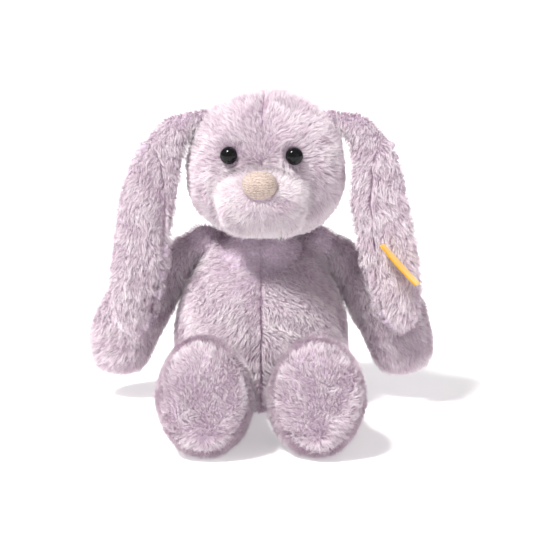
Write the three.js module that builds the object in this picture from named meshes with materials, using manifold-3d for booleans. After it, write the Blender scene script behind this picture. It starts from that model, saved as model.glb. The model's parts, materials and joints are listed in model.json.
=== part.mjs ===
// Sitting plush rabbit with long hanging ears, built the way it is sewn: plush panels over stuffing cores,
// with safety eyes, a knitted nose pad, a pellet pouch in the seat and blank ribbon labels.
//
// Millimetres, +Z up. The rabbit sits on Z = 0 and looks towards -Y. Its own left side is at +X.
// The origin is on the flat seat, under the middle of the torso.

import * as THREE from 'three';
import { mergeVertices } from 'three/addons/utils/BufferGeometryUtils.js';
import Module from 'manifold-3d';

const wasm = await Module();
wasm.setup();

// ---------------------------------------------------------------- driving dimensions

const PLUSH = 5.5; // backing cloth with its pile lying on it
const SEAM_GAP = 0.3; // between two pieces that touch
const CORE_GAP = 1; // between a curved limb's plush and its stuffing
const SIDE_GAP = 1.6; // between the torso or head and what lies against it
const PIVOT_GAP = 2; // round a limb end, inside the hollow that it turns in

const TORSO = { height: 109, halfWidth: 56, halfDepth: 46, seatHalfWidth: 40 };
const TORSO_OUTLINE = [ // width as a share of the half width, at a share of the height, above the seat
  [0.9, 0.13],
  [1, 0.38],
  [0.93, 0.62],
  [0.7, 0.86],
  [0.42, 0.97],
];
const NECK = { belowTop: 12, forward: 3, radius: 25 };

const HEAD = { halfWidth: 51, halfDepth: 44, halfHeight: 45.5 };
const HEAD_PLACE = { overNeck: 14, forward: 4, aside: 3.4, turn: -4 };
const HEAD_SHAPE = { fullness: 2.3, cheekDrop: 0.4, taper: 0.1 };
const MUZZLE = { halfWidth: 31, halfDepth: 25, halfHeight: 23, inFace: 8, drop: 16 };
const CHIN = { drop: 12, tilt: 0.25 }; // its seam, under the muzzle's middle
const NOSE = { halfWidth: 10.8, halfHeight: 8.7, thickness: 6, drop: 6 };
const EYE = { spread: 19.7, rise: 10.2, radius: 5.3, proud: 3.6, seated: 1 };
const SHANK = { radius: 1.6, length: 13 };
const WASHER = { radius: 5.5, thickness: 1.6, behindHide: 1.5 };

const EAR = { rootRadius: 9.5, halfWidth: 20.5, halfThick: 7.5 };
const EAR_ROOT = { insideHead: 13, forward: 6, belowCrown: 19 };
const EAR_HANG = [13, 17, 20, 22]; // how far out of the torso's side the lower part of the ear's line hangs
const EAR_SEAM = { drop: 65, forward: 14, outOfTorso: 15, lean: 6 }; // the edge seam's middle, and its lean
const EAR_SPLAY = { right: 1, left: 4.5 }; // how far out each ear hangs, in degrees
const EAR_ROLL = { right: 24, left: 34 }; // how far each ear's edge seam has rolled to the front, in degrees
const TAG = { width: 14, length: 32, thickness: 0.8, sunk: 3 };
const TAG_PLACE = { outOfTorso: 21, forward: 26, drop: 76 };
const TAG_WAY = { along: [0.6, -0.3, -0.74], across: [0.28, 0.9, -0.12] };

const ARM = { insideTorso: 20, back: 8, belowTop: 5, shoulderRadius: 12, pawHalfWidth: 22, pawHalfDepth: 17 };
const LEG = { spread: 29, forward: 28, offFloor: 0.5, thighRadius: 22.5, length: 100 };
const FOOT = { halfWidth: 28.5, halfHeight: 37 };
const SOLE = { depth: 9, lean: 0.1 }; // how much of the foot's front it takes in, and how its seam leans

const TAIL = { radius: 15, height: 24, sink: 5 };
const POUCH = { halfWidth: 24, height: 14, overSeatEdge: 4.643 };
const CARE_LABEL = { width: 12, length: 13, thickness: 0.8, height: 40 };

const SIDES = [
  { name: 'left', sign: 1 },
  { name: 'right', sign: -1 },
];

// ---------------------------------------------------------------- finishes

const finish = (color, roughness) => new THREE.MeshStandardMaterial({ color, roughness, metalness: 0 });

const plush = () => finish(0xcfc0cf, 0.95);
const solePlush = () => finish(0xd3c6d4, 0.95);
const muzzlePlush = () => finish(0xd8ccd8, 0.95);
const fibrefill = () => finish(0xf2f0ec, 0.9);
const knit = () => finish(0xb9a596, 0.85);
const blackPlastic = () => finish(0x060606, 0.08);
const whitePlastic = () => finish(0xe6e6e2, 0.4);
const cottonBag = () => finish(0xe4ddcf, 0.9);
const ribbon = () => finish(0xe2ad62, 0.6);
const whiteRibbon = () => finish(0xf4f2ee, 0.55);

// ---------------------------------------------------------------- solids

const V = (x, y, z) => new THREE.Vector3(x, y, z);
const radians = THREE.MathUtils.degToRad;

/** Volume that a closed, merged geometry encloses; below zero when its faces point in. */
function signedVolume(position, index) {
  const [a, b, c] = [V(), V(), V()];
  let volume = 0;
  for (let i = 0; i < index.count; i += 3) {
    a.fromBufferAttribute(position, index.getX(i));
    b.fromBufferAttribute(position, index.getX(i + 1));
    c.fromBufferAttribute(position, index.getX(i + 2));
    volume += a.dot(b.cross(c)) / 6;
  }
  return volume;
}

/** The geometry with only its positions, its doubled vertices merged and its faces pointing out. */
function closed(geometry) {
  const bare = geometry.clone();
  for (const name of ['normal', 'uv']) {
    bare.deleteAttribute(name);
  }
  const merged = mergeVertices(bare, 1e-4);
  const corners = [];
  for (let i = 0; i < merged.index.count; i += 3) {
    const [a, b, c] = [0, 1, 2].map((k) => merged.index.getX(i + k));
    if (a !== b && b !== c && c !== a) {
      corners.push(a, b, c);
    }
  }
  merged.setIndex(corners);
  if (signedVolume(merged.attributes.position, merged.index) < 0) {
    merged.setIndex(corners.reverse());
  }
  return merged;
}

/** A manifold solid from a closed geometry. */
function solid(geometry) {
  const merged = closed(geometry);
  const vertProperties = Float32Array.from(merged.attributes.position.array);
  const triVerts = Uint32Array.from(merged.index.array);
  return new wasm.Manifold(new wasm.Mesh({ numProp: 3, vertProperties, triVerts }));
}

/** A three.js geometry from a manifold solid. */
function geometryOf(body) {
  const mesh = body.getMesh();
  const geometry = new THREE.BufferGeometry();
  geometry.setAttribute('position', new THREE.BufferAttribute(mesh.vertProperties, 3));
  geometry.setIndex(new THREE.BufferAttribute(mesh.triVerts, 1));
  geometry.computeVertexNormals();
  return geometry;
}

/** A copy of a geometry, every vertex moved out along its normal; a distance below zero moves it in. */
function grown(geometry, distance) {
  const copy = closed(geometry);
  copy.computeVertexNormals();
  const { position, normal } = copy.attributes;
  for (let i = 0; i < position.count; i += 1) {
    const point = V().fromBufferAttribute(position, i);
    point.addScaledVector(V().fromBufferAttribute(normal, i), distance);
    position.setXYZ(i, point.x, point.y, point.z);
  }
  return copy;
}

/** A copy of a geometry, every vertex passed through a function. */
function reshaped(geometry, move) {
  const copy = geometry.clone();
  const { position } = copy.attributes;
  for (let i = 0; i < position.count; i += 1) {
    const point = move(V().fromBufferAttribute(position, i));
    position.setXYZ(i, point.x, point.y, point.z);
  }
  return copy;
}

/** The biggest of a body's loose pieces: a cut along a curved skin can leave slivers beside it. */
function main(body) {
  const pieces = body.decompose();
  return pieces.reduce((most, piece) => (piece.volume() > most.volume() ? piece : most));
}

/** The half of space on the side of a plane that its normal points to. */
function halfSpace(point, normal) {
  const size = 600;
  const box = new THREE.BoxGeometry(size, size, size);
  box.translate(0, 0, size / 2);
  box.applyQuaternion(new THREE.Quaternion().setFromUnitVectors(V(0, 0, 1), normal.clone().normalize()));
  box.translate(point.x, point.y, point.z);
  return solid(box);
}

/** Cuts a body in two along a plane, with the seam's gap between the halves: [normal's side, other side]. */
function split(body, point, normal) {
  const unit = normal.clone().normalize();
  const ahead = halfSpace(point.clone().addScaledVector(unit, SEAM_GAP / 2), unit);
  const behind = halfSpace(point.clone().addScaledVector(unit, -SEAM_GAP / 2), unit.clone().negate());
  return [main(body.intersect(ahead)), main(body.intersect(behind))];
}

function ballAt(centre, radius) {
  const [segments, rows] = [14, 8];
  return new THREE.SphereGeometry(radius, segments, rows).translate(centre.x, centre.y, centre.z);
}

/** A round-ended bar from one point towards another. */
function capsule(from, to, radius) {
  const length = from.distanceTo(to);
  const bar = new THREE.CapsuleGeometry(radius, length, 3, 12);
  bar.translate(0, length / 2, 0);
  const way = to.clone().sub(from).normalize();
  bar.applyQuaternion(new THREE.Quaternion().setFromUnitVectors(V(0, 1, 0), way));
  return bar.translate(from.x, from.y, from.z);
}

/** A rounded form round a spine: its sections are ellipses, and `blunt` sets how full its two ends are. */
function form({ spine, girth, across, blunt, rows, segments }) {
  const path = new THREE.CatmullRomCurve3(spine, false, 'centripetal');
  const sizes = new THREE.CatmullRomCurve3(girth.map(([w, d]) => V(w, d, 0)), false, 'centripetal');
  return reshaped(new THREE.SphereGeometry(1, segments, rows), (p) => {
    const along = path.getUtoTmapping(THREE.MathUtils.clamp((1 - p.y) / 2, 0, 1));
    const power = p.y > 0 ? blunt[0] : blunt[1];
    const fullness = (1 - Math.min(1, Math.abs(p.y)) ** power) ** (1 / power);
    const ring = Math.atan2(p.z, p.x);
    const size = sizes.getPoint(along).multiplyScalar(fullness);
    const side = path.getTangent(along).cross(across).normalize().multiplyScalar(size.x * Math.cos(ring));
    return path.getPoint(along).add(side).addScaledVector(across, size.y * Math.sin(ring));
  });
}

// ---------------------------------------------------------------- bodies, one group for each that moves

const rabbit = new THREE.Group();

/** A group at its body's pivot; `add` puts a solid made in the rabbit's frame into it as a named mesh. */
function bodyAt(parent, pivot, parentPivot = V(0, 0, 0)) {
  const group = new THREE.Group();
  group.position.copy(pivot).sub(parentPivot);
  parent.add(group);
  const add = (name, body, material) => {
    const geometry = geometryOf(body);
    geometry.translate(-pivot.x, -pivot.y, -pivot.z);
    const mesh = new THREE.Mesh(geometry, material);
    mesh.name = name;
    group.add(mesh);
  };
  return { group, add };
}

const neckPivot = V(0, -NECK.forward, TORSO.height - NECK.belowTop);
const headHeight = neckPivot.z + HEAD_PLACE.overNeck + HEAD.halfHeight;
const headCentre = V(HEAD_PLACE.aside, -HEAD_PLACE.forward, headHeight);
const crownHeight = headCentre.z + HEAD.halfHeight;
const earSpread = HEAD.halfWidth - EAR_ROOT.insideHead;
const armSpread = TORSO.halfWidth - ARM.insideTorso;
const earHeight = crownHeight - EAR_ROOT.belowCrown;
const earPivot = (sign) => V(headCentre.x + sign * earSpread, -EAR_ROOT.forward, earHeight);
const armPivot = (sign) => V(sign * armSpread, ARM.back, TORSO.height - ARM.belowTop);
const legPivot = (sign) => V(sign * LEG.spread, -LEG.forward, LEG.thighRadius + LEG.offFloor);

// ---------------------------------------------------------------- outer forms

/** Pear-shaped torso with a flat seat. */
function torsoForm(inset = 0) {
  const { height, halfWidth, halfDepth, seatHalfWidth } = TORSO;
  const depthShare = halfDepth / halfWidth;
  const outline = new THREE.SplineCurve([
    new THREE.Vector2(seatHalfWidth, 0),
    ...TORSO_OUTLINE.map(([width, up]) => new THREE.Vector2(halfWidth * width, height * up)),
  ]);
  const profile = [new THREE.Vector2(0, 0), ...outline.getPoints(8), new THREE.Vector2(0, height)];
  const pear = new THREE.LatheGeometry(profile, 18);
  pear.rotateX(Math.PI / 2);
  pear.scale(1, depthShare, 1);
  const shape = inset === 0 ? pear : grown(pear, -inset);
  return solid(shape).add(solid(ballAt(neckPivot, NECK.radius - inset)));
}

/** Round head, broader at the cheeks than at the crown. */
function headForm() {
  const { halfWidth, halfDepth, halfHeight } = HEAD;
  const { fullness, cheekDrop, taper } = HEAD_SHAPE;
  const shape = reshaped(new THREE.SphereGeometry(1, 18, 12).rotateX(Math.PI / 2), (p) => {
    const ring = Math.hypot(p.x, p.y) || 1;
    const round = (1 - Math.min(1, Math.abs(p.z)) ** fullness) ** (1 / fullness);
    const width = round * (1 - taper * (p.z + cheekDrop));
    return V((p.x / ring) * width * halfWidth, (p.y / ring) * round * halfDepth, p.z * halfHeight);
  });
  return shape.translate(headCentre.x, headCentre.y, headCentre.z);
}

const muzzleCentre = V(headCentre.x, MUZZLE.inFace - HEAD.halfDepth, headCentre.z - MUZZLE.drop);

/** Soft bulge in the lower middle of the face. */
function muzzleForm() {
  const ball = new THREE.SphereGeometry(1, 18, 12);
  ball.scale(MUZZLE.halfWidth, MUZZLE.halfDepth, MUZZLE.halfHeight);
  return ball.translate(muzzleCentre.x, muzzleCentre.y, muzzleCentre.z);
}

/** Turns a head piece to the way that the head faces. */
const faced = (body) => body.rotate([0, 0, HEAD_PLACE.turn]);

/** Long flat ear that leaves the head sideways and falls to the chest's side. */
function earForm(side) {
  const { sign } = side;
  const root = earPivot(sign);
  const besideTorso = EAR_HANG.map((out) => TORSO.halfWidth + out - sign * root.x);
  const drop = [
    [0, 0, 0],
    [14, 4, -2],
    [26, 9, -18],
    [besideTorso[0], 13, -48],
    [besideTorso[1], 14, -82],
    [besideTorso[2], 14, -112],
    [besideTorso[3], 13, -136],
  ];
  const shape = form({
    spine: drop.map(([out, forward, up]) => V(root.x + sign * out, root.y - forward, root.z + up)),
    girth: [
      [EAR.rootRadius, EAR.rootRadius],
      [EAR.rootRadius + 3, EAR.rootRadius],
      [EAR.halfWidth * 0.85, EAR.halfThick],
      [EAR.halfWidth, EAR.halfThick],
      [EAR.halfWidth, EAR.halfThick],
      [EAR.halfWidth * 0.95, EAR.halfThick],
      [EAR.halfWidth * 0.85, EAR.halfThick],
    ],
    across: V(0, 1, 0),
    blunt: [3, 3.5],
    rows: 13,
    segments: 12,
  });
  shape.translate(-root.x, -root.y, -root.z);
  shape.rotateY(radians(-sign * EAR_SPLAY[side.name]));
  return shape.translate(root.x, root.y, root.z);
}

// Line of an arm from its shoulder, as [out, back, up].
const ARM_LINE = [
  [-8, -1, 7],
  [0, 0, 0],
  [22, 3, -18],
  [39, 7, -37],
  [52, 8, -58],
  [56, 8, -87],
];

/** Arm that widens into a paw. */
function armForm(sign) {
  const shoulder = armPivot(sign);
  return form({
    spine: ARM_LINE.map(([out, back, up]) => V(shoulder.x + sign * out, shoulder.y + back, shoulder.z + up)),
    girth: [
      [ARM.shoulderRadius, ARM.shoulderRadius],
      [ARM.shoulderRadius, ARM.shoulderRadius],
      [ARM.shoulderRadius + 3, ARM.shoulderRadius + 2],
      [ARM.pawHalfWidth - 1, ARM.pawHalfDepth],
      [ARM.pawHalfWidth, ARM.pawHalfDepth],
      [ARM.pawHalfWidth, ARM.pawHalfDepth],
    ],
    across: V(0, 1, 0),
    blunt: [3, 4],
    rows: 11,
    segments: 12,
  });
}

/** Leg that lies forward on the floor and ends in an upright foot. */
function legForm(sign) {
  const hip = legPivot(sign);
  const { thighRadius, length } = LEG;
  const reach = [
    [-1, -thighRadius, 0],
    [0, 0, 0],
    [1, 30, 0],
    [3, 62, 4],
    [4, 82, 14],
    [4, length, 15.5],
  ];
  return form({
    spine: reach.map(([out, forward, up]) => V(hip.x + sign * out, hip.y - forward, hip.z + up)),
    girth: [
      [thighRadius, thighRadius],
      [thighRadius, thighRadius],
      [thighRadius, thighRadius],
      [FOOT.halfHeight * 0.88, FOOT.halfWidth * 0.96],
      [FOOT.halfHeight, FOOT.halfWidth],
      [FOOT.halfHeight, FOOT.halfWidth],
    ],
    across: V(1, 0, 0),
    blunt: [3, 4.5],
    rows: 12,
    segments: 12,
  });
}

// ---------------------------------------------------------------- hollows that the limbs turn in

/** What a thigh passes through from straight ahead to straight down; `wall` thickens it for the stuffing. */
function hipHollow(hip, wall) {
  const reach = 60;
  const radius = LEG.thighRadius + PIVOT_GAP + wall;
  const ahead = solid(capsule(hip, V(hip.x, hip.y - reach, hip.z), radius));
  const down = solid(capsule(hip, V(hip.x, hip.y, hip.z - reach), radius));
  const between = new THREE.BoxGeometry(radius * 2, reach, reach);
  between.translate(hip.x, hip.y - reach / 2, hip.z - reach / 2);
  return ahead.add(down).add(solid(between));
}

const hipHollows = (wall = 0) => hipHollow(legPivot(1), wall).add(hipHollow(legPivot(-1), wall));

const shoulderHollows = (wall = 0) =>
  SIDES.map(({ sign }) => solid(ballAt(armPivot(sign), ARM.shoulderRadius + PIVOT_GAP + wall)))
    .reduce((all, hollow) => all.add(hollow));

const earHollows = (wall = 0) =>
  SIDES.map(({ sign }) => solid(ballAt(earPivot(sign), EAR.rootRadius + PIVOT_GAP + wall)))
    .reduce((all, hollow) => all.add(hollow));

const neckHollow = (wall = 0) => solid(ballAt(neckPivot, NECK.radius + PIVOT_GAP + wall));

// ---------------------------------------------------------------- torso

const torsoOuter = torsoForm().subtract(hipHollows()).subtract(shoulderHollows());
const torsoInside = (gap) =>
  main(torsoForm(PLUSH + gap).subtract(hipHollows(PLUSH + gap)).subtract(shoulderHollows(PLUSH + gap)));

function buildTorso() {
  const torso = bodyAt(rabbit, V(0, 0, 0));
  const cover = torsoOuter.subtract(torsoInside(0));
  const [sides, seat] = split(cover, V(0, 0, PLUSH + 1), V(0, 0, 1));
  torso.add('seat_panel', seat, plush());
  const [back, front] = split(sides, V(0, 0, 0), V(0, 1, 0));
  for (const [label, half] of [['front', front], ['back', back]]) {
    const [left, right] = split(half, V(0, 0, 0), V(1, 0, 0));
    torso.add(`torso_${label}_left`, left, plush());
    torso.add(`torso_${label}_right`, right, plush());
  }
  const pouch = pelletPouch();
  torso.add('torso_stuffing', torsoInside(SEAM_GAP).subtract(solid(grown(pouch, SEAM_GAP))), fibrefill());
  torso.add('pellet_pouch', solid(pouch), cottonBag());
  buildTail(torso);
  buildCareLabel(torso);
}

/** Flat oval bag of pellets behind the hips, resting on the seat panel. */
function pelletPouch() {
  const { halfWidth, height, overSeatEdge } = POUCH;
  const front = LEG.thighRadius + PIVOT_GAP + PLUSH - LEG.forward;
  const rear = TORSO.seatHalfWidth * TORSO.halfDepth / TORSO.halfWidth - PLUSH + overSeatEdge;
  const halfDepth = (rear - front) / 2;
  const edge = new THREE.SplineCurve([
    new THREE.Vector2(0.75, 0),
    new THREE.Vector2(1, height * 0.4),
    new THREE.Vector2(0.6, height),
  ]);
  const profile = [new THREE.Vector2(0, 0), ...edge.getPoints(4), new THREE.Vector2(0, height)];
  const bag = new THREE.LatheGeometry(profile, 16).rotateX(Math.PI / 2);
  bag.scale(halfWidth, halfDepth, 1);
  return closed(bag.translate(0, front + halfDepth, PLUSH + SEAM_GAP));
}

function buildTail(torso) {
  const centre = V(0, TORSO.halfDepth + TAIL.radius - TAIL.sink * 2, TAIL.height);
  const ball = (inset) => solid(ballAt(centre, TAIL.radius - inset));
  const room = solid(grown(geometryOf(torsoForm()), SEAM_GAP));
  torso.add('tail_cover', ball(0).subtract(ball(PLUSH)).subtract(room), plush());
  torso.add('tail_stuffing', ball(PLUSH + SEAM_GAP).subtract(room), fibrefill());
}

/** Blank ribbon sewn into the back seam above the tail. */
function buildCareLabel(torso) {
  const { width, length, thickness, height } = CARE_LABEL;
  const label = new THREE.BoxGeometry(thickness, length * 2, width);
  label.translate(TAIL.radius, TORSO.halfDepth, height);
  const room = solid(grown(geometryOf(torsoForm()), SEAM_GAP));
  torso.add('care_label', solid(label).subtract(room), whiteRibbon());
}

// ---------------------------------------------------------------- head

function buildHead() {
  const head = bodyAt(rabbit, neckPivot);
  const room = neckHollow().add(earHollows());
  const roomBehind = (gap) => neckHollow(PLUSH + gap).add(earHollows(PLUSH + gap));
  const skull = headForm();
  const muzzle = muzzleForm();
  const inner = (gap) => faced(solid(grown(skull, -PLUSH - gap))).subtract(roomBehind(gap));
  const muzzleInner = (gap) => faced(solid(grown(muzzle, -PLUSH - gap)));
  const skullSolid = faced(solid(skull));
  const eyes = SIDES.map(eyePlace);

  const eyeRoom = eyes.map((place) => solid(shankForm(place, SEAM_GAP))).reduce((all, hole) => all.add(hole));
  const cover = skullSolid.subtract(inner(0)).subtract(muzzleInner(0)).subtract(room).subtract(eyeRoom);
  const headAxis = headCentre.clone().applyAxisAngle(V(0, 0, 1), radians(HEAD_PLACE.turn));
  const across = V(1, 0, 0).applyAxisAngle(V(0, 0, 1), radians(HEAD_PLACE.turn));
  const ahead = V(0, -1, 0).applyAxisAngle(V(0, 0, 1), radians(HEAD_PLACE.turn));
  const [face, rear] = split(cover, headAxis, ahead);
  for (const [label, half] of [['face', face], ['head_back', rear]]) {
    const [left, right] = split(half, headAxis, across);
    head.add(`${label}_left`, left, plush());
    head.add(`${label}_right`, right, plush());
  }

  const onFace = faced(solid(grown(skull, SEAM_GAP)));
  const snout = faced(solid(muzzle)).subtract(muzzleInner(0)).subtract(onFace);
  const chinLine = V(muzzleCentre.x, muzzleCentre.y, muzzleCentre.z - CHIN.drop);
  const [cheeks, chin] = split(snout, chinLine, V(0, -CHIN.tilt, 1));
  const [left, right] = split(cheeks, headAxis, across);
  head.add('muzzle_left', left, muzzlePlush());
  head.add('muzzle_right', right, muzzlePlush());
  head.add('chin_panel', chin, muzzlePlush());
  head.add('nose_pad', noseForm(muzzle), knit());

  const washerRoom = eyes
    .map((place) => solid(washerForm(place, SEAM_GAP, PLUSH)))
    .reduce((all, hole) => all.add(hole));
  const core = inner(SEAM_GAP).add(muzzleInner(SEAM_GAP)).subtract(roomBehind(SEAM_GAP));
  head.add('head_stuffing', core.subtract(eyeRoom).subtract(washerRoom), fibrefill());
  eyes.forEach((place) => {
    head.add(`eye_${place.name}`, eyeForm(place, skull), blackPlastic());
    head.add(`eye_washer_${place.name}`, eyeWasher(place), whitePlastic());
  });
  for (const side of SIDES) {
    buildEar(head, side);
  }
}

/** Where an eye sits on the face, and the way it looks. */
function eyePlace({ name, sign }) {
  const across = (sign * EYE.spread) / HEAD.halfWidth;
  const up = EYE.rise / HEAD.halfHeight;
  const ahead = -Math.sqrt(1 - across * across - up * up);
  const out = V(across / HEAD.halfWidth, ahead / HEAD.halfDepth, up / HEAD.halfHeight).normalize();
  const turn = radians(HEAD_PLACE.turn);
  const point = headCentre.clone().add(V(sign * EYE.spread, ahead * HEAD.halfDepth, EYE.rise));
  const up3 = V(0, 0, 1);
  return { name, point: point.applyAxisAngle(up3, turn), out: out.applyAxisAngle(up3, turn) };
}

/** Puts a form made along +Y from its origin at an eye, looking out of the face. */
function atEye(geometry, { point, out }, sink = 0) {
  geometry.applyQuaternion(new THREE.Quaternion().setFromUnitVectors(V(0, 1, 0), out));
  const place = point.clone().addScaledVector(out, -sink);
  return geometry.translate(place.x, place.y, place.z);
}

function shankForm(place, grow) {
  const length = SHANK.length + EYE.proud;
  const shank = new THREE.CylinderGeometry(SHANK.radius + grow, SHANK.radius + grow, length + grow, 12);
  shank.translate(0, -(length + grow) / 2, 0);
  return atEye(shank, place, -EYE.proud);
}

/** Domed eye with the shank that holds it. */
function eyeForm(place, skull) {
  const dome = new THREE.SphereGeometry(1, 14, 8);
  dome.scale(EYE.radius, EYE.proud + EYE.seated, EYE.radius);
  const onFace = faced(solid(grown(skull, SEAM_GAP)));
  return solid(atEye(dome, place)).subtract(onFace).add(solid(shankForm(place, 0)));
}

/** Washer behind the hide; `grow` and `lift` make the hole for it in the stuffing, open towards the hide. */
function washerForm(place, grow = 0, lift = 0) {
  const { radius, thickness, behindHide } = WASHER;
  const disc = new THREE.CylinderGeometry(radius + grow, radius + grow, thickness + 2 * grow + lift, 18);
  return atEye(disc.translate(0, lift / 2, 0), place, PLUSH + behindHide + thickness / 2);
}

const eyeWasher = (place) => solid(washerForm(place)).subtract(solid(shankForm(place, SEAM_GAP)));

/** Oval knitted pad on the front of the muzzle. */
function noseForm(muzzle) {
  const pad = new THREE.SphereGeometry(1, 16, 8);
  pad.scale(NOSE.halfWidth, NOSE.thickness, NOSE.halfHeight);
  const up = MUZZLE.drop - NOSE.drop;
  const ahead = MUZZLE.halfDepth * Math.sqrt(1 - (up / MUZZLE.halfHeight) ** 2);
  pad.translate(muzzleCentre.x, muzzleCentre.y - ahead, headCentre.z - NOSE.drop);
  return faced(solid(pad).subtract(solid(grown(muzzle, SEAM_GAP))));
}

// ---------------------------------------------------------------- ears

/** An ear is two panels: the broad outer one, and the inner one whose edge seam rolls to the front. */
function buildEar(head, side) {
  const { name, sign } = side;
  const root = earPivot(sign);
  const ear = bodyAt(head.group, root, neckPivot);
  const clear = faced(solid(grown(headForm(), SIDE_GAP))).subtract(earHollows(-SEAM_GAP));
  const whole = solid(earForm(side)).subtract(clear);
  const seamOut = sign * (TORSO.halfWidth + EAR_SEAM.outOfTorso);
  const seamAt = V(seamOut, root.y - EAR_SEAM.forward, root.z - EAR_SEAM.drop);
  const down = V(0, 0, -1).applyAxisAngle(V(0, 1, 0), radians(-sign * EAR_SEAM.lean));
  const roll = radians(-sign * EAR_ROLL[name]);
  const [outer, inner] = split(whole, seamAt, V(0, -1, 0).applyAxisAngle(down, roll));
  const tagged = name === 'left';
  const slit = tagged ? [solid(tagForm(root, SEAM_GAP))] : [];
  const opened = (panel) => slit.reduce((rest, cut) => main(rest.subtract(cut)), panel);
  ear.add(`ear_${name}_outer`, opened(outer), plush());
  ear.add(`ear_${name}_inner`, opened(inner), plush());
  if (tagged) {
    ear.add('ear_tag', solid(tagForm(root, 0)), ribbon());
  }
}

/** Blank folded ribbon let into the front of the ear; `grow` makes the slit that it is sewn into. */
function tagForm(root, grow) {
  const { width, length, thickness, sunk } = TAG;
  const { outOfTorso, forward, drop } = TAG_PLACE;
  const along = V(...TAG_WAY.along).normalize();
  const across = V(...TAG_WAY.across).projectOnPlane(along).normalize();
  const facing = across.clone().cross(along);
  const band = new THREE.BoxGeometry(length + 2 * grow, thickness + 2 * grow, width + 2 * grow);
  band.translate(length / 2 - sunk, 0, 0);
  band.applyMatrix4(new THREE.Matrix4().makeBasis(along, facing, across));
  return band.translate(TORSO.halfWidth + outOfTorso, root.y - forward, root.z - drop);
}

// ---------------------------------------------------------------- arms and legs

function buildArm({ name, sign }) {
  const arm = bodyAt(rabbit, armPivot(sign));
  const shape = armForm(sign);
  const beside = (wall) =>
    solid(grown(geometryOf(torsoForm()), SIDE_GAP + wall)).subtract(shoulderHollows(-SEAM_GAP));
  const outer = solid(shape).subtract(beside(0));
  const inner = (gap) => solid(grown(shape, -PLUSH - gap));
  const [out, back, up] = ARM_LINE.at(-1);
  const alongArm = V(sign * out, back, up).normalize();
  const [rear, front] = split(outer.subtract(inner(0)), armPivot(sign), V(0, 1, 0).projectOnPlane(alongArm));
  arm.add(`arm_${name}_front`, front, plush());
  arm.add(`arm_${name}_back`, rear, plush());
  arm.add(`arm_${name}_stuffing`, inner(CORE_GAP).subtract(beside(PLUSH)), fibrefill());
}

function buildLeg({ name, sign }) {
  const hip = legPivot(sign);
  const leg = bodyAt(rabbit, hip);
  const shape = legForm(sign);
  const floor = halfSpace(V(0, 0, 0), V(0, 0, 1));
  const outer = solid(shape).intersect(floor);
  const inner = (gap) => solid(grown(shape, -PLUSH - gap));
  const soleSeam = V(hip.x, hip.y - LEG.length + SOLE.depth, hip.z);
  const [sole, sleeve] = split(outer.subtract(inner(0)), soleSeam, V(0, -1, SOLE.lean));
  const [upper, under] = split(sleeve, hip, V(0, -0.05, 1));
  leg.add(`leg_${name}_upper`, upper, plush());
  leg.add(`leg_${name}_under`, under, plush());
  leg.add(`foot_${name}_sole`, sole, solePlush());
  leg.add(`leg_${name}_stuffing`, inner(CORE_GAP), fibrefill());
}

buildTorso();
buildHead();
for (const side of SIDES) {
  buildArm(side);
  buildLeg(side);
}

export default rabbit;
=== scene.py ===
"""Sitting plush rabbit: hides of long pile over stuffed forms, hanging ears, domed eyes and a knitted nose.

Metres, +Z up. The rabbit looks towards -Y and its own left side is at +X, as in the frame.
"""

import json
import logging
import math
from dataclasses import dataclass, field
from enum import Enum

import bmesh
import bpy
import numpy as np
from mathutils import Matrix, Vector
from mathutils.kdtree import KDTree


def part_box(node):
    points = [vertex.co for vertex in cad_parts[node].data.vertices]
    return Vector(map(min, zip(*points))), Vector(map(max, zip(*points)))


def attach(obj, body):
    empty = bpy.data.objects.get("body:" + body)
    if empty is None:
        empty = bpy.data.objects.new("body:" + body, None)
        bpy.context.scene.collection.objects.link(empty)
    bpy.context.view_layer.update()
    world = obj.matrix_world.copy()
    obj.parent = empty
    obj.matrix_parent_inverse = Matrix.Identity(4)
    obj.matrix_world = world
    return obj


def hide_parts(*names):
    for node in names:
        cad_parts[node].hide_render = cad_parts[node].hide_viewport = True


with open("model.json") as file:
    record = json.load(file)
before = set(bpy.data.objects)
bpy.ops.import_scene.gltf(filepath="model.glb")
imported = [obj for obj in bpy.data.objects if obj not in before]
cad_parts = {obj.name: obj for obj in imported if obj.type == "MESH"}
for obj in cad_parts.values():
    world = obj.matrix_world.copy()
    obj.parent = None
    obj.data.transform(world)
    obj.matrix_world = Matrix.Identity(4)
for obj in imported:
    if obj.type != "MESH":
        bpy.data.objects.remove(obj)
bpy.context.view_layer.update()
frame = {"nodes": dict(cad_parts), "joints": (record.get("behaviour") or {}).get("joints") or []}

MM = 0.001
SKIN_CLEARANCE = 3.2 * MM
CLOTH_FRAMES = 20
CLOTH_PRESSURE = 4.0
FLOOR_CLEARANCE = 0.3 * MM
BAKE_MAP = "OFBake"
log = logging.getLogger("rabbit")


class Side(Enum):
    """The rabbit's own sides; the value is the sign of X."""

    LEFT = 1
    RIGHT = -1

    @property
    def word(self) -> str:
        """The side's name as the pieces spell it."""
        return self.name.lower()


# ---------------------------------------------------------------- measures from the frame


def joint_place(name: str) -> Vector:
    """Where a joint turns, in metres.

    Args:
        name: The joint's name in the frame.

    Returns:
        The joint's point.
    """
    return Vector(next(j["pos_m"] for j in frame["joints"] if j["name"] == name))


def box_centre(node: str) -> Vector:
    """Middle of a node's box."""
    low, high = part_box(node)
    return (low + high) / 2


def farthest_point(node: str, origin: Vector) -> Vector:
    """The point of a node's mesh that is farthest from an origin."""
    points = (v.co for v in frame["nodes"][node].data.vertices)
    return max(points, key=lambda p: (p - origin).length).copy()


# ---------------------------------------------------------------- finishes


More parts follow.
